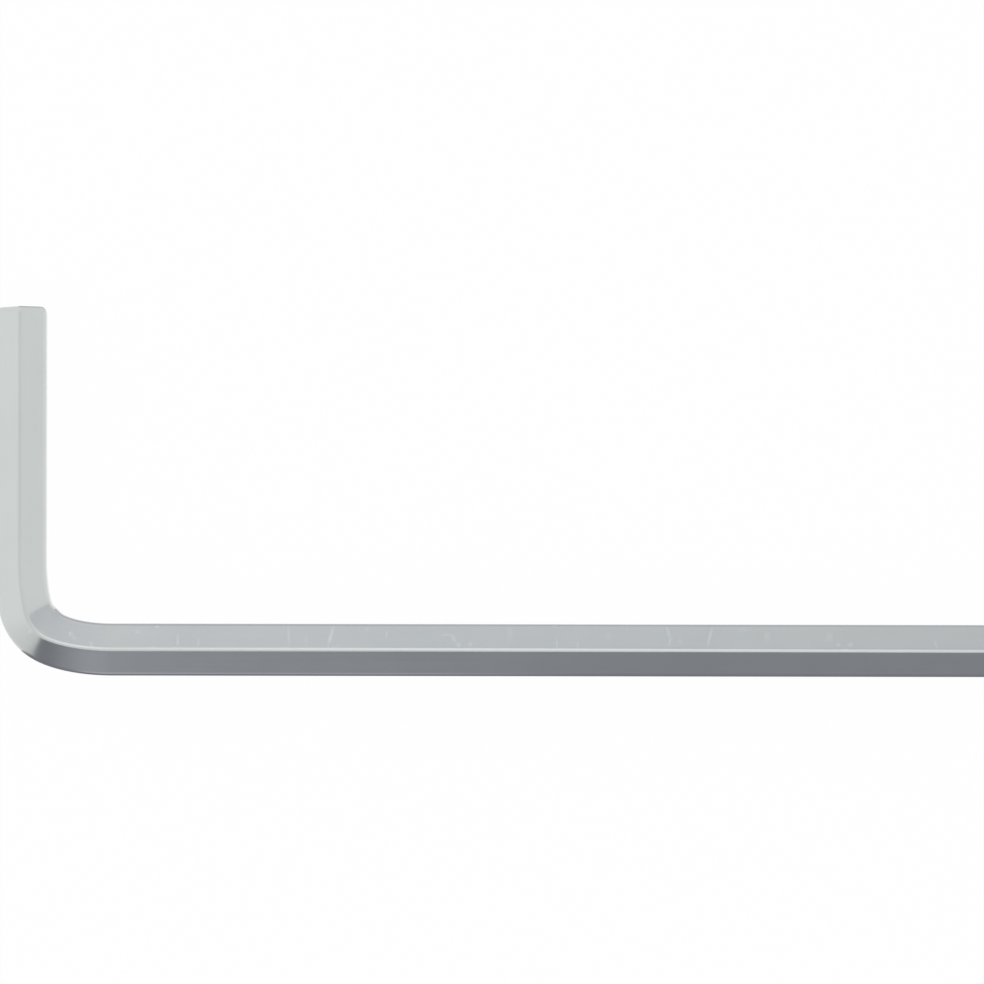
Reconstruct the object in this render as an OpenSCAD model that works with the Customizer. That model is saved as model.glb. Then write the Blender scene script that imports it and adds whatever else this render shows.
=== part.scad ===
// Hex key: one hexagonal steel bar, cut to length and bent once to a right angle.
// It lies flat, as it comes to rest: the long arm runs along +X, the short arm along +Y,
// and each arm rests on the lowest of its six corners, called crests here.
// The origin is at the middle of the footprint, on the surface that the key lies on.

/* [Bar] */
// Width of the bar across its flats
across_flats = 4; // [2:0.5:10]
// Radius of the bar's six rounded corners
corner_r = 0.5; // [0.05:0.05:0.6]

/* [Arms] */
// Length of the long arm, from the outside of the bend to its end
long_arm = 144; // [40:1:250]
// Length of the short arm, from the outside of the bend to the middle of its end
short_arm = 28.35; // [20:0.05:60]

/* [Bend] */
// Inside radius in the middle of the bend
inner_r = 1.3; // [0.8:0.1:6]
// Radius that the bend gains as it runs out into the short arm
short_run_out_r = 20; // [0:0.5:30]
// Radius that the bend gains as it runs out into the long arm
long_run_out_r = 14; // [0:0.5:30]
// How far the inner flat swells towards the inside of the bend
inner_swell = 0.2; // [0:0.01:0.4]
// How much wider the swollen inner flat gets at each of its edges
inner_spread = 0.12; // [0:0.01:0.3]
// How much narrower the stretched outer flat gets at each of its edges
outer_pinch = 0.1; // [0:0.01:0.3]
// How far the two crests move towards the outside of the bend
crest_shift = 0.15; // [0:0.01:0.3]
// How far the two crests sink towards the middle of the bar
crest_sink = 0.03; // [0:0.01:0.1]

/* [Ends] */
// Radius of the rounded edge around each end face
edge_r = 0.45; // [0.1:0.05:0.6]
// Degrees that the cut of the short end leans out of square, its upper crest the longer
cut_lean = 4; // [0:0.5:8]
// Degrees that the same cut is turned out of square, its inner side the longer
cut_skew = 1.4; // [0:0.1:4]

/* [Hidden] */

// Half the width across the flats, and across the sharp corners
half_flats = across_flats / 2;
half_corners = half_flats / cos(30);
// Half the width of one flat
half_flat = half_flats * tan(30);

// The whole bend, the steps that it is drawn in, and how late its radius opens towards each arm
bend_angle = 90;
bend_steps = 45;
short_run_out_power = 60;
long_run_out_power = 24;
// Steps in each rounded corner of the bar, and in the rounded edge of each end
corner_steps = 5;
edge_steps = 5;
// Smallest radius left on a corner where the rounded edge has eaten it away
least_r = 0.05;

// Radius of the centre line at an angle along the bend: tight in the middle, open at both ends
function bend_r(angle) =
    half_flats + inner_r
    + short_run_out_r * pow(cos(angle), short_run_out_power)
    + long_run_out_r * pow(sin(angle), long_run_out_power);

// Share of the full change of section: none on the arms, all of it in the middle of the bend
function worked(angle) = pow(sin(2 * angle), 2);

// Unit vector along the bar, from the short arm's end to the long arm's
function along(angle) = [sin(angle), -cos(angle), 0];

// Unit vector across the bar, towards the outside of the bend
function outward(angle) = [-cos(angle), -sin(angle), 0];

// Length of bar in one step of the bend, and the centre line that the steps add up to
step_angle = bend_angle / bend_steps;
function bend_step(i) =
    let (angle = (i + 0.5) * step_angle)
    bend_r(angle) * step_angle * PI / 180 * along(angle);
bend_line = [
    for (i = 0, p = [0, 0, 0]; i <= bend_steps; p = p + bend_step(i), i = i + 1) p
];
// Where the centre line starts to bend, on the short arm
bend_start = [half_flats, half_flats - bend_line[bend_steps][1], 0];

// The six sharp corners of the section, as [distance outwards, height], for a share of the change
function sharp_corners(share) =
    let (
        crest_x = crest_shift * share,
        crest_z = half_corners - crest_sink * share,
        outer_z = half_flat - outer_pinch * share,
        inner_x = -half_flats - inner_swell * share,
        inner_z = half_flat + inner_spread * share
    )
    [
        [crest_x, crest_z],
        [inner_x, inner_z],
        [inner_x, -inner_z],
        [crest_x, -crest_z],
        [half_flats, -outer_z],
        [half_flats, outer_z]
    ];

// Direction in which the side from corner i to the next one faces, in degrees
function side_faces(corners, i) =
    let (side = corners[(i + 1) % 6] - corners[i % 6])
    atan2(-side[0], side[1]);

// Points of one rounded corner, when the whole outline is drawn in by inset
function rounded_corner(corners, i, inset) =
    let (
        before = side_faces(corners, i + 5),
        turn = (side_faces(corners, i) - before + 360) % 360,
        depth = max(corner_r, inset + least_r),
        middle = before + turn / 2,
        centre = corners[i] - depth / cos(turn / 2) * [cos(middle), sin(middle)]
    )
    [
        for (k = [0 : corner_steps])
            let (faces = before + turn * k / corner_steps)
            centre + (depth - inset) * [cos(faces), sin(faces)]
    ];

// The section as a ring of points around a place on the centre line
function ring(place, angle, inset = 0, lean = 0, skew = 0) =
    let (corners = sharp_corners(worked(angle)))
    [
        for (i = [0 : 5])
            for (p = rounded_corner(corners, i, inset))
                let (slip = p[0] * tan(skew) - p[1] * tan(lean))
                place + p[0] * outward(angle) + [0, 0, p[1]] + slip * along(angle)
    ];

// Rings of a rounded end: end is the middle of its face, faces is +1 where the bar stops there
// and -1 where it starts
function end_rings(end, angle, faces, lean = 0, skew = 0) = [
    for (k = [0 : edge_steps])
        let (
            turn = 90 * (faces > 0 ? k : edge_steps - k) / edge_steps,
            back = edge_r * (1 - sin(turn))
        )
        ring(end - faces * back * along(angle), angle, edge_r * (1 - cos(turn)), lean, skew)
];

// Rings of the bend, from the short arm to the long one
bend_rings = [
    for (i = [0 : bend_steps])
        ring(bend_start + bend_line[i], i * step_angle)
];

key_rings = concat(
    end_rings([half_flats, short_arm, 0], 0, -1, cut_lean, cut_skew),
    bend_rings,
    end_rings([long_arm, half_flats, 0], bend_angle, 1)
);

// How far the short arm reaches, with the lean and the turn of its cut
short_reach = max([for (p = key_rings[0]) p[1]]);
// Height of the bar's centre line over the surface that its rounded crests lie on
rest_height = max([for (p = bend_rings[0]) p[2]]);

// One closed skin through a row of rings, with a flat face on the first and the last
module loft(rings) {
    sides = len(rings[0]);
    last = len(rings) - 1;
    first_face = [for (i = [0 : sides - 1]) i];
    last_face = [for (i = [0 : sides - 1]) last * sides + sides - 1 - i];
    skin = [
        for (k = [0 : last - 1])
            for (i = [0 : sides - 1])
                let (
                    a = k * sides + i,
                    b = k * sides + (i + 1) % sides,
                    c = a + sides,
                    d = b + sides
                )
                each [[a, c, b], [b, c, d]]
    ];
    polyhedron([for (r = rings) each r], concat([first_face], skin, [last_face]));
}

module hex_key() {
    color("#b9bec1")
        translate([-long_arm / 2, -short_reach / 2, rest_height])
            loft(key_rings);
}

hex_key();
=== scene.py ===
"""Looks of a hex key: a plated hexagonal bar, bent once to a right angle, lying on a white floor."""

import math

import bpy
from mathutils import Matrix, Vector


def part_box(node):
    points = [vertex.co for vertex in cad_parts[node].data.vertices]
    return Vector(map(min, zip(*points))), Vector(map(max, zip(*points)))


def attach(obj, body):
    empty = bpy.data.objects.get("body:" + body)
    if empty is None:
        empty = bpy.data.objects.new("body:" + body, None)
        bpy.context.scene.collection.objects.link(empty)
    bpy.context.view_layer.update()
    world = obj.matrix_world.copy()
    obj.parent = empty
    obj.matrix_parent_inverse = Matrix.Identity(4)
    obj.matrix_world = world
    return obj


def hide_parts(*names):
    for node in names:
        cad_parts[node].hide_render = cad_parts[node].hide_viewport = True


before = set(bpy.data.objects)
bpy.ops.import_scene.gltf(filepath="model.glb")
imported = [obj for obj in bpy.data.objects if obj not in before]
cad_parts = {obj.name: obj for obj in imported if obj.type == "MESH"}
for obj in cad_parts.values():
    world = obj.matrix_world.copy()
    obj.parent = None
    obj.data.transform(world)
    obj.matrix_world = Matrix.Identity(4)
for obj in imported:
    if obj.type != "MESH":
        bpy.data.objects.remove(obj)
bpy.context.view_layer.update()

# The key: one drawn hexagonal bar of tool steel, cut to length, bent once cold and then chrome plated.
# Each arm lies on the lowest of its six corners, called crests here. The skin is swept along the bent
# centre line, and the bend squeezes the section: its inner flat swells and its outer flat narrows.
MM = 0.001
FLATS = 4 * MM
CORNER_R = 0.5 * MM
SHORT_ARM = 28.35 * MM
INNER_R = 1.3 * MM
SHORT_RUN_OUT_R = 20 * MM
LONG_RUN_OUT_R = 14 * MM
INNER_SWELL = 0.2 * MM
INNER_SPREAD = 0.12 * MM
OUTER_PINCH = 0.1 * MM
CREST_SHIFT = 0.15 * MM
CREST_SINK = 0.03 * MM
EDGE_R = 0.45 * MM
LEAST_R = 0.05 * MM
CUT_LEAN = math.radians(4)
CUT_SKEW = math.radians(1.4)
# How late the bend's radius opens towards each arm
SHORT_RUN_OUT_POWER = 60
LONG_RUN_OUT_POWER = 24
# Width of the narrow faces that keep the shading of the flats and of the ends even
FLAT_MARGIN = 0.06 * MM
FACE_MARGIN = 0.04 * MM
# Steps of the sweep: round each corner of the bar, over each end's edge and along the bend
CORNER_STEPS = 12
EDGE_STEPS = 8
BEND_STEPS = 96

low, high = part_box("hex_key")
LONG_ARM = high.x - low.x
KEY_PLACE = Vector((low.x, low.y, (low.z + high.z) / 2))

MATH = "ShaderNodeMath"
VECTOR = "ShaderNodeVectorMath"


def add(tree, kind, feeds=(), **settings):
    """Adds a node, sets its properties and feeds its inputs with values, sockets or nodes.

    The inputs go by number or by name. Those of a Mix node go by number: 0 is its factor, 2 and 3 are
    its values, 4 and 5 its vectors, and 6 and 7 its colours.
    """
    node = tree.nodes.new(kind)
    for name, value in settings.items():
        setattr(node, name, value)
    if not isinstance(feeds, dict):
        feeds = dict(enumerate(feeds))
    for key, value in feeds.items():
        if isinstance(value, bpy.types.Node):
            value = next(s for s in value.outputs if s.enabled)
        if isinstance(value, bpy.types.NodeSocket):
            tree.links.new(value, node.inputs[key])
        else:
            node.inputs[key].default_value = value
    return node


bar_tree = bpy.data.node_groups.new("bent_hexagonal_bar", "GeometryNodeTree")
bar_tree.interface.new_socket("Bar", in_out="OUTPUT", socket_type="NodeSocketGeometry")
bar_sizes = {
    "Half Flats": FLATS / 2,
    "Corner Radius": CORNER_R,
    "Long Arm": LONG_ARM,
    "Short Arm": SHORT_ARM,
    "Inner Radius": INNER_R,
    "Short Run Out Radius": SHORT_RUN_OUT_R,
    "Long Run Out Radius": LONG_RUN_OUT_R,
    "Inner Swell": INNER_SWELL,
    "Inner Spread": INNER_SPREAD,
    "Outer Pinch": OUTER_PINCH,
    "Crest Shift": CREST_SHIFT,
    "Crest Sink": CREST_SINK,
    "Edge Radius": EDGE_R,
    "Cut Lean": CUT_LEAN,
    "Cut Skew": CUT_SKEW,
}
socket_keys = {}
for size_name in bar_sizes:
    socket = bar_tree.interface.new_socket(size_name, in_out="INPUT", socket_type="NodeSocketFloat")
    socket_keys[size_name] = socket.identifier
for extra_name, extra_type in (("Place", "NodeSocketVector"), ("Finish", "NodeSocketMaterial")):
    socket = bar_tree.interface.new_socket(extra_name, in_out="INPUT", socket_type=extra_type)
    socket_keys[extra_name] = socket.identifier
size = add(bar_tree, "NodeGroupInput").outputs

# Rings along the bar, counted from the short end: a face, a rounded edge, the bend, and the other end
FIRST_BEND = EDGE_STEPS + 3
LAST_BEND = FIRST_BEND + BEND_STEPS
RINGS = LAST_BEND + FIRST_BEND + 1
ring_points = add(bar_tree, "GeometryNodePoints", {"Count": RINGS})
path = add(bar_tree, "GeometryNodePointsToCurves", (ring_points,))
ring = add(bar_tree, "GeometryNodeInputIndex")
turn = add(bar_tree, "ShaderNodeMapRange", (ring, FIRST_BEND, LAST_BEND, 0, math.pi / 2))
turn_before = add(bar_tree, "ShaderNodeMapRange", (ring, FIRST_BEND + 1, LAST_BEND + 1, 0, math.pi / 2))
turn_step = add(bar_tree, MATH, (turn, turn_before), operation="SUBTRACT")
turn_sum = add(bar_tree, MATH, (turn, turn_before), operation="ADD")
turn_middle = add(bar_tree, MATH, (turn_sum, 0.5), operation="MULTIPLY")

# Radius of the centre line: tight in the middle of the bend, open where it runs out into the arms
tight_r = add(bar_tree, MATH, (size["Half Flats"], size["Inner Radius"]), operation="ADD")
short_cosine = add(bar_tree, MATH, (turn_middle,), operation="COSINE")
short_open = add(bar_tree, MATH, (short_cosine, SHORT_RUN_OUT_POWER), operation="POWER")
long_sine = add(bar_tree, MATH, (turn_middle,), operation="SINE")
long_open = add(bar_tree, MATH, (long_sine, LONG_RUN_OUT_POWER), operation="POWER")
short_r = add(bar_tree, MATH, (size["Short Run Out Radius"], short_open, tight_r), operation="MULTIPLY_ADD")
bend_r = add(bar_tree, MATH, (size["Long Run Out Radius"], long_open, short_r), operation="MULTIPLY_ADD")
step_length = add(bar_tree, MATH, (bend_r, turn_step), operation="MULTIPLY")
step_up = add(bar_tree, "ShaderNodeCombineXYZ", (0, step_length, 0))
step_down = add(bar_tree, VECTOR, (step_up, (-1, -1, -1)), operation="MULTIPLY")
bend_step = add(
    bar_tree, "ShaderNodeVectorRotate", {"Vector": step_down, "Angle": turn_middle}, rotation_type="Z_AXIS"
)
bend_sum = add(bar_tree, "GeometryNodeAccumulateField", {"Value": bend_step}, data_type="FLOAT_VECTOR")
bend_total = add(bar_tree, "ShaderNodeSeparateXYZ", (bend_sum.outputs["Total"],))

# How far each ring of a rounded end lies behind the end's face, and how far its outline is drawn in
ring_from_end = add(bar_tree, MATH, (RINGS - 1, ring), operation="SUBTRACT")
end_ring = add(bar_tree, MATH, (ring, ring_from_end), operation="MINIMUM")
edge_turn = add(bar_tree, "ShaderNodeMapRange", (end_ring, 1, EDGE_STEPS + 1, math.pi / 2, 0))
edge_sine = add(bar_tree, MATH, (edge_turn,), operation="SINE")
edge_rest = add(bar_tree, MATH, (1, edge_sine), operation="SUBTRACT")
edge_back = add(bar_tree, MATH, (size["Edge Radius"], edge_rest), operation="MULTIPLY")
margin_back = add(
    bar_tree, "ShaderNodeMapRange", (end_ring, EDGE_STEPS + 1, EDGE_STEPS + 2, 0, FLAT_MARGIN)
)
end_back = add(bar_tree, MATH, (edge_back, margin_back), operation="ADD")
edge_cosine = add(bar_tree, MATH, (edge_turn,), operation="COSINE")
edge_fall = add(bar_tree, MATH, (1, edge_cosine), operation="SUBTRACT")
face_inset = add(bar_tree, "ShaderNodeMapRange", (end_ring, 0, 1, FACE_MARGIN, 0))
inset = add(bar_tree, MATH, (size["Edge Radius"], edge_fall, face_inset), operation="MULTIPLY_ADD")

# Place of each ring's middle, from the outer corner of the two arms
on_short = add(bar_tree, "ShaderNodeMapRange", (ring, FIRST_BEND - 1, FIRST_BEND, 1, 0))
on_long = add(bar_tree, "ShaderNodeMapRange", (ring, LAST_BEND, LAST_BEND + 1, 0, 1))
long_start = add(bar_tree, MATH, (size["Half Flats"], bend_total.outputs["X"]), operation="ADD")
short_start = add(bar_tree, MATH, (size["Half Flats"], bend_total.outputs["Y"]), operation="SUBTRACT")
arm_starts = add(bar_tree, "ShaderNodeCombineXYZ", (long_start, short_start, 0))
arm_ends = add(bar_tree, "ShaderNodeCombineXYZ", (size["Long Arm"], size["Short Arm"], 0))
arm_lengths = add(bar_tree, VECTOR, (arm_ends, arm_starts), operation="SUBTRACT")
both_back = add(bar_tree, "ShaderNodeCombineXYZ", (end_back, end_back, 0))
runs = add(bar_tree, VECTOR, (arm_lengths, both_back), operation="SUBTRACT")
arm_share = add(bar_tree, "ShaderNodeCombineXYZ", (on_long, on_short, 0))
bend_corner = add(bar_tree, "ShaderNodeCombineXYZ", (size["Half Flats"], short_start, 0))
bend_place = add(bar_tree, VECTOR, (bend_corner, bend_sum.outputs["Leading"]), operation="ADD")
ring_place = add(bar_tree, VECTOR, (runs, arm_share, bend_place), operation="MULTIPLY_ADD")
placed_path = add(bar_tree, "GeometryNodeSetPosition", {"Geometry": path, "Position": ring_place})

# What each ring hands on to the skin
doubled_turn = add(bar_tree, MATH, (turn, 2), operation="MULTIPLY")
turn_sine = add(bar_tree, MATH, (doubled_turn,), operation="SINE")
worked = add(bar_tree, MATH, (turn_sine, turn_sine), operation="MULTIPLY")
lean_slope = add(bar_tree, MATH, (size["Cut Lean"],), operation="TANGENT")
skew_slope = add(bar_tree, MATH, (size["Cut Skew"],), operation="TANGENT")
lean = add(bar_tree, MATH, (lean_slope, on_short), operation="MULTIPLY")
skew = add(bar_tree, MATH, (skew_slope, on_short), operation="MULTIPLY")
ring_facts = add(bar_tree, "GeometryNodeCaptureAttribute", {"Geometry": placed_path})
path_length = add(bar_tree, "GeometryNodeSplineParameter").outputs["Length"]
ring_middle = add(bar_tree, "GeometryNodeInputPosition")
ring_floats = {"turn": turn, "inset": inset, "worked": worked, "lean": lean, "skew": skew}
for fact_name, fact in ring_floats.items():
    ring_facts.capture_items.new("FLOAT", fact_name)
    bar_tree.links.new(fact.outputs[0], ring_facts.inputs[fact_name])
ring_facts.capture_items.new("FLOAT", "length")
bar_tree.links.new(path_length, ring_facts.inputs["length"])
ring_facts.capture_items.new("VECTOR", "middle")
bar_tree.links.new(ring_middle.outputs[0], ring_facts.inputs["middle"])

# Points round the section, counted from the upper crest: each corner has its rounding, with a margin
# point on the flat before it and after it
CORNER_POINTS = CORNER_STEPS + 3
SIXTH = math.pi / 3
section_points = add(bar_tree, "GeometryNodePoints", {"Count": 6 * CORNER_POINTS})
open_section = add(bar_tree, "GeometryNodePointsToCurves", (section_points,))
section = add(bar_tree, "GeometryNodeSetSplineCyclic", {"Geometry": open_section, "Cyclic": True})
point = add(bar_tree, "GeometryNodeInputIndex")
corner_share = add(bar_tree, MATH, (point, CORNER_POINTS), operation="DIVIDE")
corner = add(bar_tree, MATH, (corner_share,), operation="FLOOR")
corner_point = add(bar_tree, MATH, (point, CORNER_POINTS), operation="MODULO")
rounding_point = add(bar_tree, MATH, (corner_point, 1), operation="SUBTRACT")
clamped_point = add(bar_tree, "ShaderNodeClamp", (rounding_point, 0, CORNER_STEPS))
margin_side = add(bar_tree, MATH, (rounding_point, clamped_point), operation="SUBTRACT")
corner_angle = add(bar_tree, MATH, (corner, SIXTH, math.pi / 2), operation="MULTIPLY_ADD")
rounding_turn = add(bar_tree, "ShaderNodeMapRange", (clamped_point, 0, CORNER_STEPS, -SIXTH / 2, SIXTH / 2))
facing_angle = add(bar_tree, MATH, (corner_angle, rounding_turn), operation="ADD")
section_facts = add(bar_tree, "GeometryNodeCaptureAttribute", {"Geometry": section})
for fact_name, fact in (("corner", corner_angle), ("facing", facing_angle), ("margin", margin_side)):
    section_facts.capture_items.new("FLOAT", fact_name)
    bar_tree.links.new(fact.outputs[0], section_facts.inputs[fact_name])

skin = add(
    bar_tree,
    "GeometryNodeCurveToMesh",
    {"Curve": ring_facts, "Profile Curve": section_facts, "Fill Caps": True},
)
at_ring = ring_facts.outputs
at_point = section_facts.outputs

# The rounded hexagon as [outwards, upwards], drawn in by the ring's inset
eaten_r = add(bar_tree, MATH, (at_ring["inset"], LEAST_R), operation="ADD")
depth = add(bar_tree, MATH, (size["Corner Radius"], eaten_r), operation="MAXIMUM")
centre_flats = add(bar_tree, MATH, (size["Half Flats"], depth), operation="SUBTRACT")
centre_corners = add(bar_tree, MATH, (centre_flats, math.cos(SIXTH / 2)), operation="DIVIDE")
centre_arm = add(bar_tree, "ShaderNodeCombineXYZ", (centre_corners, 0, 0))
rounding_r = add(bar_tree, MATH, (depth, at_ring["inset"]), operation="SUBTRACT")
margin = add(bar_tree, MATH, (at_point["margin"], FLAT_MARGIN), operation="MULTIPLY")
rounding_arm = add(bar_tree, "ShaderNodeCombineXYZ", (rounding_r, margin, 0))
centre = add(
    bar_tree,
    "ShaderNodeVectorRotate",
    {"Vector": centre_arm, "Angle": at_point["corner"]},
    rotation_type="Z_AXIS",
)
rounding = add(
    bar_tree,
    "ShaderNodeVectorRotate",
    {"Vector": rounding_arm, "Angle": at_point["facing"]},
    rotation_type="Z_AXIS",
)
plain_place = add(bar_tree, VECTOR, (centre, rounding), operation="ADD")
plain = add(bar_tree, "ShaderNodeSeparateXYZ", (plain_place,))
outwards, upwards = plain.outputs["X"], plain.outputs["Y"]

# What cold bending does to the section: the crests, the inner flat and the outer flat each move
half_flat = add(bar_tree, MATH, (size["Half Flats"], math.tan(SIXTH / 2)), operation="MULTIPLY")
height_share = add(bar_tree, MATH, (upwards, half_flat), operation="DIVIDE")
side_up = add(bar_tree, "ShaderNodeClamp", (height_share, -1, 1))
out_share = add(bar_tree, MATH, (outwards, size["Half Flats"]), operation="DIVIDE")
side_share = add(bar_tree, MATH, (out_share,), operation="ABSOLUTE")
is_outer = add(bar_tree, MATH, (outwards, 0), operation="GREATER_THAN")
crest_rise = add(bar_tree, MATH, (size["Crest Sink"], -1), operation="MULTIPLY")
swell_out = add(bar_tree, MATH, (size["Inner Swell"], -1), operation="MULTIPLY")
pinch_in = add(bar_tree, MATH, (size["Outer Pinch"], -1), operation="MULTIPLY")
crest_move = add(bar_tree, "ShaderNodeCombineXYZ", (size["Crest Shift"], crest_rise, 0))
inner_move = add(bar_tree, "ShaderNodeCombineXYZ", (swell_out, size["Inner Spread"], 0))
outer_move = add(bar_tree, "ShaderNodeCombineXYZ", (0, pinch_in, 0))
side_move = add(
    bar_tree, "ShaderNodeMix", {0: is_outer, 4: inner_move, 5: outer_move}, data_type="VECTOR"
)
sharp_move = add(
    bar_tree, "ShaderNodeMix", {0: side_share, 4: crest_move, 5: side_move}, data_type="VECTOR"
)
both_ways = add(bar_tree, "ShaderNodeCombineXYZ", (1, side_up, 0))
full_move = add(bar_tree, VECTOR, (sharp_move, both_ways), operation="MULTIPLY")
move = add(bar_tree, VECTOR, {0: full_move, "Scale": at_ring["worked"]}, operation="SCALE")
worked_place = add(bar_tree, VECTOR, (plain_place, move), operation="ADD")
section_place = add(bar_tree, "ShaderNodeSeparateXYZ", (worked_place,))

# The section stood up across the bar and turned with it
inwards = add(bar_tree, MATH, (section_place.outputs["X"], -1), operation="MULTIPLY")
skewed = add(bar_tree, MATH, (inwards, at_ring["skew"]), operation="MULTIPLY")
leaning = add(
    bar_tree, MATH, (section_place.outputs["Y"], at_ring["lean"], skewed), operation="MULTIPLY_ADD"
)
across = add(bar_tree, "ShaderNodeCombineXYZ", (inwards, leaning, section_place.outputs["Y"]))
turned = add(
    bar_tree, "ShaderNodeVectorRotate", {"Vector": across, "Angle": at_ring["turn"]}, rotation_type="Z_AXIS"
)
from_corner = add(bar_tree, VECTOR, (at_ring["middle"], turned), operation="ADD")
final_place = add(bar_tree, VECTOR, (from_corner, size["Place"]), operation="ADD")
shaped = add(bar_tree, "GeometryNodeSetPosition", {"Geometry": skin, "Position": final_place})

# The same point on the bar before it was bent, for the lines that drawing leaves along it
straight_place = add(bar_tree, "ShaderNodeCombineXYZ", (outwards, at_ring["length"], upwards))
marked = add(
    bar_tree,
    "GeometryNodeStoreNamedAttribute",
    {"Geometry": shaped, "Name": "straight_bar", "Value": straight_place},
    data_type="FLOAT_VECTOR",
    domain="POINT",
)
turned_out = add(bar_tree, "GeometryNodeFlipFaces", (marked,))
smooth = add(bar_tree, "GeometryNodeSetShadeSmooth", {"Geometry": turned_out, "Shade Smooth": True})
realized = add(bar_tree, "GeometryNodeRealizeInstances", (smooth,))
finished = add(
    bar_tree, "GeometryNodeSetMaterial", {"Geometry": realized, "Material": size["Finish"]}
)
add(bar_tree, "NodeGroupOutput", (finished,))


def linear(hex_colour, alpha=1.0):
    """An sRGB hex colour as the linear values that sockets take."""
    parts = [int(hex_colour[i:i + 2], 16) / 255 for i in (1, 3, 5)]
    return tuple(c / 12.92 if c <= 0.04045 else ((c + 0.055) / 1.055) ** 2.4 for c in parts) + (alpha,)


# Satin chrome plate over drawn steel: a pale, faintly green metal whose soft gloss still shows the room
# in its flats, with hair-fine lines along the bar that drawing left, a faint clouding of the plating, and
# small pale rubs from handling. The lines are drawn a few times as wide as real ones, so that they show.
DULL_PLATE = "#CCD1CF"
BRIGHT_PLATE = "#CFD4D2"
RUBBED_PLATE = "#DFE3E2"
PLATE_ROUGHNESS = (0.16, 0.2)
RUBBED_ROUGHNESS = 0.38
LINE_WIDTH = 0.15 * MM
LINE_LENGTH = 12 * MM
LINE_DEPTH = 0.0006 * MM
CLOUD_SIZE = 3 * MM
# Share of the clouds in the unevenness, beside the lines
CLOUD_SHARE = 0.5
# Range in which nearly all values of a noise lie
NOISE_RANGE = (0.35, 0.65)
# Share of the way from a rub's edge to its middle over which it gains its strength
RUB_FADE = 0.6
# Size of the grain that breaks the rubs up, and the least and the most that it leaves of them
RUB_GRAIN = 0.3 * MM
RUB_LEFT = (0.62, 0.82)
# Height of the rubs, on the upper side of the bar, and how far up and down each one reaches
RUB_HEIGHT = low.z + 3.9 * MM
RUB_REACH = 3 * MM
# Each rub: its distance from the outside of the bend, its distance inwards from the long arm's outside,
# the direction of its stroke in degrees, its length, its width and its strength. Distances are in mm.
RUBS = (
    (2.8, 3.4, 45, 0.5, 0.4, 0.5),
    (5.95, 3.2, -45, 0.55, 0.45, 0.85),
    (6.2, 2.95, -50, 0.6, 0.35, 0.45),
    (7.55, 2.45, -60, 0.7, 0.35, 0.65),
    (11.1, 3.4, 0, 0.6, 0.5, 0.35),
    (12.4, 2.2, 0, 0.8, 0.3, 0.4),
    (12.6, 3.8, 0, 0.4, 0.25, 0.8),
    (14.2, 2.75, 90, 1.2, 0.25, 0.5),
    (15.8, 2.6, 90, 0.9, 0.25, 0.35),
    (22.4, 2.2, 0, 0.8, 0.3, 0.4),
    (22.75, 3.15, -87, 2.4, 0.32, 0.45),
    (24.1, 2.8, 90, 1.4, 0.25, 0.3),
    (26.0, 3.1, 75, 2.1, 0.34, 0.95),
    (26.4, 2.2, 0, 1.1, 0.3, 0.4),
    (28.8, 3.6, 0, 0.5, 0.4, 0.35),
    (30.3, 3.2, 90, 0.8, 0.22, 0.65),
    (34.9, 3.2, 0, 1.1, 0.26, 0.6),
    (35.45, 2.95, -65, 0.9, 0.4, 0.7),
    (35.85, 2.45, 0, 0.55, 0.5, 0.6),
    (36.75, 2.45, 0, 0.55, 0.5, 0.6),
    (39.8, 3.3, 90, 1.5, 0.7, 0.25),
    (43.2, 3.9, 0, 0.5, 0.25, 0.5),
    (43.4, 2.5, 90, 1.1, 0.22, 0.65),
    (45.0, 2.4, 90, 0.7, 0.25, 0.45),
    (47.4, 3.1, 90, 0.9, 0.6, 0.25),
    (52.0, 3.4, -72, 1.1, 0.32, 0.75),
    (52.1, 2.7, 78, 1.0, 0.32, 0.6),
    (52.9, 2.7, -70, 0.7, 0.35, 0.35),
    (55.2, 3.1, 75, 1.8, 0.32, 0.85),
    (57.7, 3.6, 0, 1.2, 0.5, 0.3),
    (59.6, 3.1, 90, 1.0, 0.6, 0.35),
    (64.4, 3.1, 90, 1.1, 0.7, 0.3),
    (65.1, 2.5, 0, 0.4, 0.4, 0.55),
    (65.6, 2.1, 0, 0.8, 0.25, 0.65),
    (66.0, 2.5, 0, 0.6, 0.5, 0.55),
    (72.6, 2.5, -70, 1.0, 0.25, 0.55),
)

plate = bpy.data.materials.new("satin_chrome_plate")
plate.use_nodes = True
paint = plate.node_tree
paint.nodes.clear()
bar_place = add(paint, "ShaderNodeAttribute", attribute_name="straight_bar").outputs["Vector"]
line_scale = (1 / LINE_WIDTH, 1 / LINE_LENGTH, 1 / LINE_WIDTH)
line_place = add(paint, VECTOR, (bar_place, line_scale), operation="MULTIPLY")
lines = add(paint, "ShaderNodeTexNoise", {"Vector": line_place, "Scale": 1.0, "Detail": 3.0})
real_place = add(paint, "ShaderNodeTexCoord").outputs["Object"]
clouds = add(
    paint, "ShaderNodeTexNoise", {"Vector": real_place, "Scale": 1 / CLOUD_SIZE, "Detail": 2.0}
)
grain = add(paint, "ShaderNodeTexNoise", {"Vector": real_place, "Scale": 1 / RUB_GRAIN, "Detail": 1.0})

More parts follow.
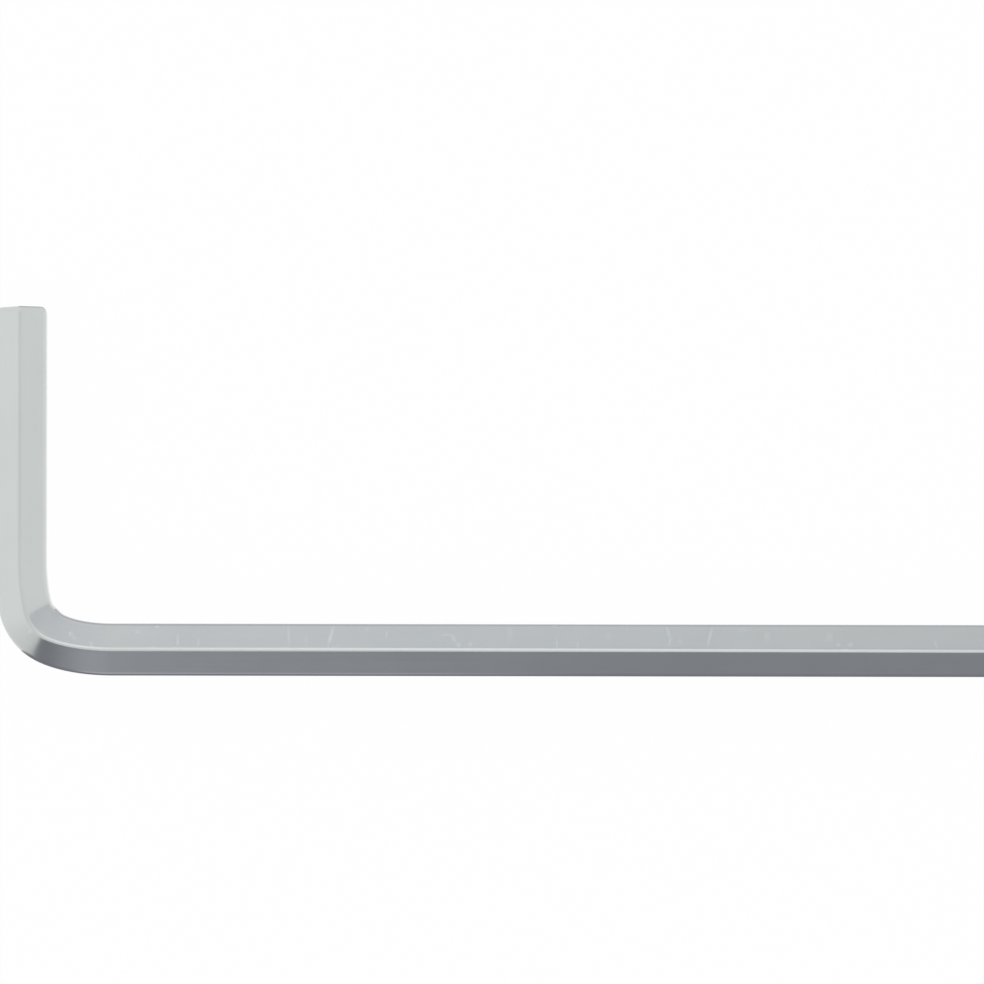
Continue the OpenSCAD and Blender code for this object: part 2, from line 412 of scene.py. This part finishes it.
rubbed = 0.0
for along, inwards_by, angle, length, width, strength in RUBS:
    rub_place = add(paint, "ShaderNodeMapping", {"Vector": real_place}, vector_type="TEXTURE")
    rub_place.inputs["Location"].default_value = (low.x + along * MM, low.y + inwards_by * MM, RUB_HEIGHT)
    rub_place.inputs["Rotation"].default_value = (0, 0, math.radians(angle))
    rub_place.inputs["Scale"].default_value = (length / 2 * MM, width / 2 * MM, RUB_REACH)
    rub = add(paint, "ShaderNodeTexGradient", (rub_place,), gradient_type="SPHERICAL").outputs["Fac"]
    faded_rub = add(paint, "ShaderNodeMapRange", (rub, 0, RUB_FADE, 0, strength))
    rubbed = add(paint, MATH, (faded_rub, rubbed), operation="MAXIMUM")
rub_breaks = add(paint, "ShaderNodeMapRange", (grain, *NOISE_RANGE, *RUB_LEFT))
rubbed = add(paint, MATH, (rubbed, rub_breaks), operation="MULTIPLY")

unevenness = add(paint, "ShaderNodeMix", {0: CLOUD_SHARE, 2: lines, 3: clouds})
evened = add(paint, "ShaderNodeMapRange", (unevenness, *NOISE_RANGE, 0, 1))
plain_colour = add(
    paint,
    "ShaderNodeMix",
    {0: evened, 6: linear(DULL_PLATE), 7: linear(BRIGHT_PLATE)},
    data_type="RGBA",
).outputs[2]
colour = add(
    paint, "ShaderNodeMix", {0: rubbed, 6: plain_colour, 7: linear(RUBBED_PLATE)}, data_type="RGBA"
).outputs[2]
plain_roughness = add(paint, "ShaderNodeMapRange", (evened, 0, 1, *PLATE_ROUGHNESS))
roughness = add(paint, "ShaderNodeMix", {0: rubbed, 2: plain_roughness, 3: RUBBED_ROUGHNESS}).outputs[0]
relief = add(paint, "ShaderNodeBump", {"Height": lines, "Distance": LINE_DEPTH, "Strength": 1.0})
shine = add(
    paint,
    "ShaderNodeBsdfPrincipled",
    {"Base Color": colour, "Metallic": 1.0, "Roughness": roughness, "Normal": relief},
)
add(paint, "ShaderNodeOutputMaterial", {"Surface": shine})

# The tree grows the bar on an empty mesh, and its result becomes a plain one
bar_seed = bpy.data.objects.new("bar_seed", bpy.data.meshes.new("bar_seed"))
bpy.context.scene.collection.objects.link(bar_seed)
bar_maker = bar_seed.modifiers.new("bent_bar", "NODES")
bar_maker.node_group = bar_tree
for size_name, value in bar_sizes.items():
    bar_maker[socket_keys[size_name]] = value
bar_maker[socket_keys["Place"]] = KEY_PLACE
bar_maker[socket_keys["Finish"]] = plate
depsgraph = bpy.context.evaluated_depsgraph_get()
bar_mesh = bpy.data.meshes.new_from_object(bar_seed.evaluated_get(depsgraph))
bar_seed.modifiers.remove(bar_maker)
bpy.data.objects.remove(bar_seed)
bar_mesh.name = "plated_bar"
plated_bar = bpy.data.objects.new("plated_bar", bar_mesh)
bpy.context.scene.collection.objects.link(plated_bar)

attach(plated_bar, "root")
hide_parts("hex_key")

# The floor: a plain white sheet that the key lies on. The eye and the metal see it lit evenly to
# white, with a little of its real shading kept, so that a trace of the key's own shadow still shows.
FLOOR_SIDE = 6.0
FLOOR_COLOUR = "#F4F4F4"
SHADOW_SHARE = 0.02

floor_mesh = bpy.data.meshes.new("floor")
floor_reach = FLOOR_SIDE / 2
floor_corners = [
    (x * floor_reach, y * floor_reach, low.z) for x, y in ((-1, -1), (1, -1), (1, 1), (-1, 1))
]
floor_mesh.from_pydata(floor_corners, [], [(0, 1, 2, 3)])
floor = bpy.data.objects.new("floor", floor_mesh)
bpy.context.scene.collection.objects.link(floor)
sheet = bpy.data.materials.new("white_paper_sheet")
sheet.use_nodes = True
paint = sheet.node_tree
paint.nodes.clear()
light_path = add(paint, "ShaderNodeLightPath").outputs
seen = add(paint, MATH, (light_path["Is Camera Ray"], light_path["Is Glossy Ray"]), operation="MAXIMUM")
seen = add(paint, MATH, (seen, light_path["Is Transmission Ray"]), operation="MAXIMUM")
white_share = add(paint, MATH, (seen, 1 - SHADOW_SHARE), operation="MULTIPLY")
matt = add(paint, "ShaderNodeBsdfDiffuse", {"Color": linear(FLOOR_COLOUR)})
white = add(paint, "ShaderNodeEmission", {"Color": linear("#FFFFFF"), "Strength": 1.0})
surface = add(paint, "ShaderNodeMixShader", (white_share, matt, white))
add(paint, "ShaderNodeOutputMaterial", {"Surface": surface})
floor_mesh.materials.append(sheet)

# The studio: a white room, a little dimmer overhead, on the right and towards the front, as the short
# arm and the bend show it. Its tones go by the direction, from -1 on the left to 1 on the right, and
# its dimming from -1 in front to 1 behind.
ROOM_TONES = ((-0.7, "#FFFFFF"), (0.05, "#EAEAEA"), (0.5, "#F1F1F1"), (0.85, "#F5F5F5"), (1.0, "#FFFFFF"))
DIMMED_FRONT = -0.65
PLAIN_FRONT = -0.3
FRONT_DIMMING = 0.85

studio = bpy.data.worlds.new("white_room")
bpy.context.scene.world = studio
studio.use_nodes = True
paint = studio.node_tree
paint.nodes.clear()
room_side = add(paint, "ShaderNodeTexCoord").outputs["Generated"]
room_axes = add(paint, "ShaderNodeSeparateXYZ", (room_side,)).outputs
room_share = add(paint, "ShaderNodeMapRange", (room_axes["X"], -1, 1, 0, 1))
room_ramp = add(paint, "ShaderNodeValToRGB", (room_share,))
room_stops = room_ramp.color_ramp.elements
room_stops[0].color = linear(ROOM_TONES[0][1])
room_stops.remove(room_stops[1])
for direction_x, tone in ROOM_TONES:
    stop = room_stops.new((direction_x + 1) / 2)
    stop.color = linear(tone)
front_range = (DIMMED_FRONT, PLAIN_FRONT, FRONT_DIMMING, 1)
front_share = add(paint, "ShaderNodeMapRange", (room_axes["Y"], *front_range))
room = add(paint, "ShaderNodeBackground", {"Color": room_ramp, "Strength": front_share})
add(paint, "ShaderNodeOutputWorld", {"Surface": room})

# The front boards: a tall one, a foot close before it and a sheet on the floor give the facets that face
# the front their grey. The sheet is painted shade: it darkens the white floor before the key where the
# metal sees it. They end a little left of the key, so that the outside of the bend has an edge between
# bright and dark. Only the metal sees these and all the boards that follow.
FRONT_Y = low.y - 58 * MM
FOOT_GAP = 1 * MM
ARM_Y = low.y + FLATS / 2
SHEET_Z = low.z + 0.05 * MM


def board(name, edges, glow=1.0):
    """A board skinned between edges, each given as its two ends and its tone."""
    mesh = bpy.data.meshes.new(name)
    corners = [corner for first, last, tone in edges for corner in (first, last)]
    faces = [(i, i + 1, i + 3, i + 2) for i in range(0, len(corners) - 2, 2)]
    mesh.from_pydata(corners, [], faces)
    tones = mesh.color_attributes.new("tone", "FLOAT_COLOR", "POINT")
    for spot in range(len(corners)):
        tones.data[spot].color = linear(edges[spot // 2][2])
    piece = bpy.data.objects.new(name, mesh)
    bpy.context.scene.collection.objects.link(piece)
    piece.visible_camera = False
    piece.visible_diffuse = False
    piece.visible_shadow = False
    piece.visible_transmission = False
    tint = bpy.data.materials.new(name)
    tint.use_nodes = True
    paint = tint.node_tree
    paint.nodes.clear()
    tone = add(paint, "ShaderNodeAttribute", attribute_name="tone").outputs["Color"]
    light = add(paint, "ShaderNodeEmission", {"Color": tone, "Strength": glow})
    add(paint, "ShaderNodeOutputMaterial", {"Surface": light})
    mesh.materials.append(tint)


def standing(y, edges):
    """Edges of a board that stands at y, from x, height and tone, with x and height in mm."""
    return [((x * MM, y, low.z), (x * MM, y, low.z + top * MM), tone) for x, top, tone in edges]


def lying(z, edges):
    """Edges of a level board at z, from the near end, the far end and the tone, in mm."""
    return [((a * MM, b * MM, z), (c * MM, d * MM, z), tone) for (a, b), (c, d), tone in edges]


board("front_board", standing(FRONT_Y, (
    (-111, 165, "#828288"), (-92, 165, "#8A8A91"), (-72, 165, "#B2B3BB"), (-63, 165, "#A1A2AA"),
    (-20, 165, "#97979E"), (20, 140, "#97979E"), (200, 140, "#97979E"),
)))
board("front_foot", standing(FRONT_Y + FOOT_GAP, (
    (-118, 28, "#7A7A80"), (-92, 28, "#808087"), (-79, 28, "#929299"), (-74, 28, "#C6C5CF"),
    (-64, 28, "#C6C5CF"), (-58, 28, "#BAB9C3"), (-40, 28, "#B6B5BF"), (-26, 28, "#908F98"),
    (200, 28, "#8F8E97"),
)))
# Painted shade: a dark sheet on the floor that only the metal sees, darkening the white floor before the
# key
board("front_shade_sheet", lying(SHEET_Z, (
    ((-70, ARM_Y / MM), (-121, FRONT_Y / MM), "#8D8C94"),
    ((200, ARM_Y / MM), (200, FRONT_Y / MM), "#8B8A93"),
)))

# The back boards: a pale one whose top rises to the right, and a foot close before it, give the facets
# that face the back their light grey
BACK_Y = low.y + 62 * MM

board("back_board", [
    ((x * MM, BACK_Y, low.z), ((x + slant) * MM, BACK_Y, low.z + top * MM), tone)
    for x, slant, top, tone in (
        (-66, 0, 64, "#E6E5EB"), (-50, 0, 64, "#E4E3E9"), (-33, 0, 72, "#DFDFE4"),
        (-18, 0, 92, "#DDDCE1"), (-4, 6, 125, "#DBDADF"), (4, 42, 155, "#D6D5DA"),
        (6, 70, 170, "#CFCED3"),
    )
])
board("back_foot", standing(BACK_Y - FOOT_GAP, (
    (-66, 41, "#E6E5EB"), (-50, 41, "#E8E8EE"), (-30, 41, "#E3E3E8"), (-10, 41, "#E3E3E7"),
    (5, 41, "#DEDEE2"), (65, 41, "#DBDADF"),
)))

# The lights: two boards that glow more than white hang over the long arm, one behind it and one in
# front, and give its upper crest the bright line
BACK_LIGHT_Z = low.z + 1000 * MM
FRONT_LIGHT_Z = low.z + 300 * MM
LIGHT_GLOW = 1.4

board("back_light", lying(BACK_LIGHT_Z, (
    ((-106, 115), (-106, 1100), "#FBFAFF"), ((-69, 110), (-69, 1100), "#F7F6FC"),
    ((-32, 110), (-32, 950), "#E6E5EA"), ((5, 115), (5, 750), "#F3F2F8"),
    ((42, 115), (42, 450), "#F3F2F8"), ((62, 115), (62, 380), "#F3F2F8"),
    ((64, 115), (64, 250), "#E3E2E7"), ((130, 115), (130, 220), "#E3E2E7"),
)), LIGHT_GLOW)
board("front_light", lying(FRONT_LIGHT_Z, (
    ((-40, -25), (-40, -45), "#E6E5EA"), ((20, -25), (20, -85), "#E6E5EA"),
    ((150, -25), (150, -85), "#E6E5EA"),
)), LIGHT_GLOW)

# The cards: one follows the inner flat from the bend on, and gives its upper rim a grey line. One past
# the short end is pale, and a lower one before it darkens the edge of the end, right of the crest. The
# grey card and the lower one are painted shade: they stand in for the key's own shadow on the floor
# beside it, as the metal shows it.
CARD_TOP = low.z + 3.45 * MM
# Grey of the inner card: painted shade, the key's shadow on the floor as the metal shows it
SHADE_CARD_TONE = "#D3D2D8"
CARD_LINE = (
    (-66.9, -8.63), (-66.73, -8.74), (-66.6, -8.87), (-66.3, -9.08), (-65.9, -9.24), (-65.2, -9.43),
    (-62.9, -9.64), (200, -9.64),
)
END_CARD_Y = high.y + 1.5 * MM
END_FOOT_Y = high.y + 1.4 * MM

# Painted shade: a grey card beside the inner flat, seen only in the metal, for the key's shadow on the
# floor
board("inner_shade_card", [
    ((x * MM, y * MM, low.z), (x * MM, y * MM, CARD_TOP), SHADE_CARD_TONE) for x, y in CARD_LINE
])
board("end_card", standing(END_CARD_Y, (
    (-90, 9, "#FFFFFF"), (-71, 9, "#FDFDFD"), (-69, 9, "#F5F5F5"), (-62, 9, "#F5F5F5"),
)))
# Painted shade: a low card before the end, dark to pale, seen only in the metal, for the key's shadow on
# the floor
board("end_shade_foot", standing(END_FOOT_Y, (
    (-70.3, 3.9, "#BDBCC2"), (-68.6, 3.2, "#D0CFD5"), (-67.3, 2.6, "#E4E3E8"),
)))

# The camera: straight above the key, turned a little, so that the long arm falls slightly to the right.
# It is placed by the pixel at which the outer corner of the two arms would lie in the photograph.
PHOTO_SIDE = 984
PIXELS_PER_MM = 12.95
OUTER_CORNER_PIXEL = (-5.5, 675.1)
CAMERA_HEIGHT = 0.72
CAMERA_ROLL = 0.0018
LENS_SENSOR = 36.0
FARTHEST_SEEN = 20.0

seen_width = PHOTO_SIDE / PIXELS_PER_MM * MM
middle_pixel = PHOTO_SIDE / 2
from_corner_pixels = Vector((middle_pixel - OUTER_CORNER_PIXEL[0], OUTER_CORNER_PIXEL[1] - middle_pixel, 0))
level_offset = from_corner_pixels / PIXELS_PER_MM * MM
camera_offset = Matrix.Rotation(CAMERA_ROLL, 3, "Z") @ level_offset
camera_data = bpy.data.cameras.new("camera")
camera_data.sensor_width = LENS_SENSOR
camera_data.lens = LENS_SENSOR * CAMERA_HEIGHT / seen_width
camera_data.clip_end = FARTHEST_SEEN
camera = bpy.data.objects.new("camera", camera_data)
camera.location = KEY_PLACE + camera_offset + Vector((0, 0, CAMERA_HEIGHT))
camera.rotation_euler = (0, 0, CAMERA_ROLL)
bpy.context.scene.collection.objects.link(camera)
bpy.context.scene.camera = camera

bpy.context.scene.view_settings.view_transform = "Standard"
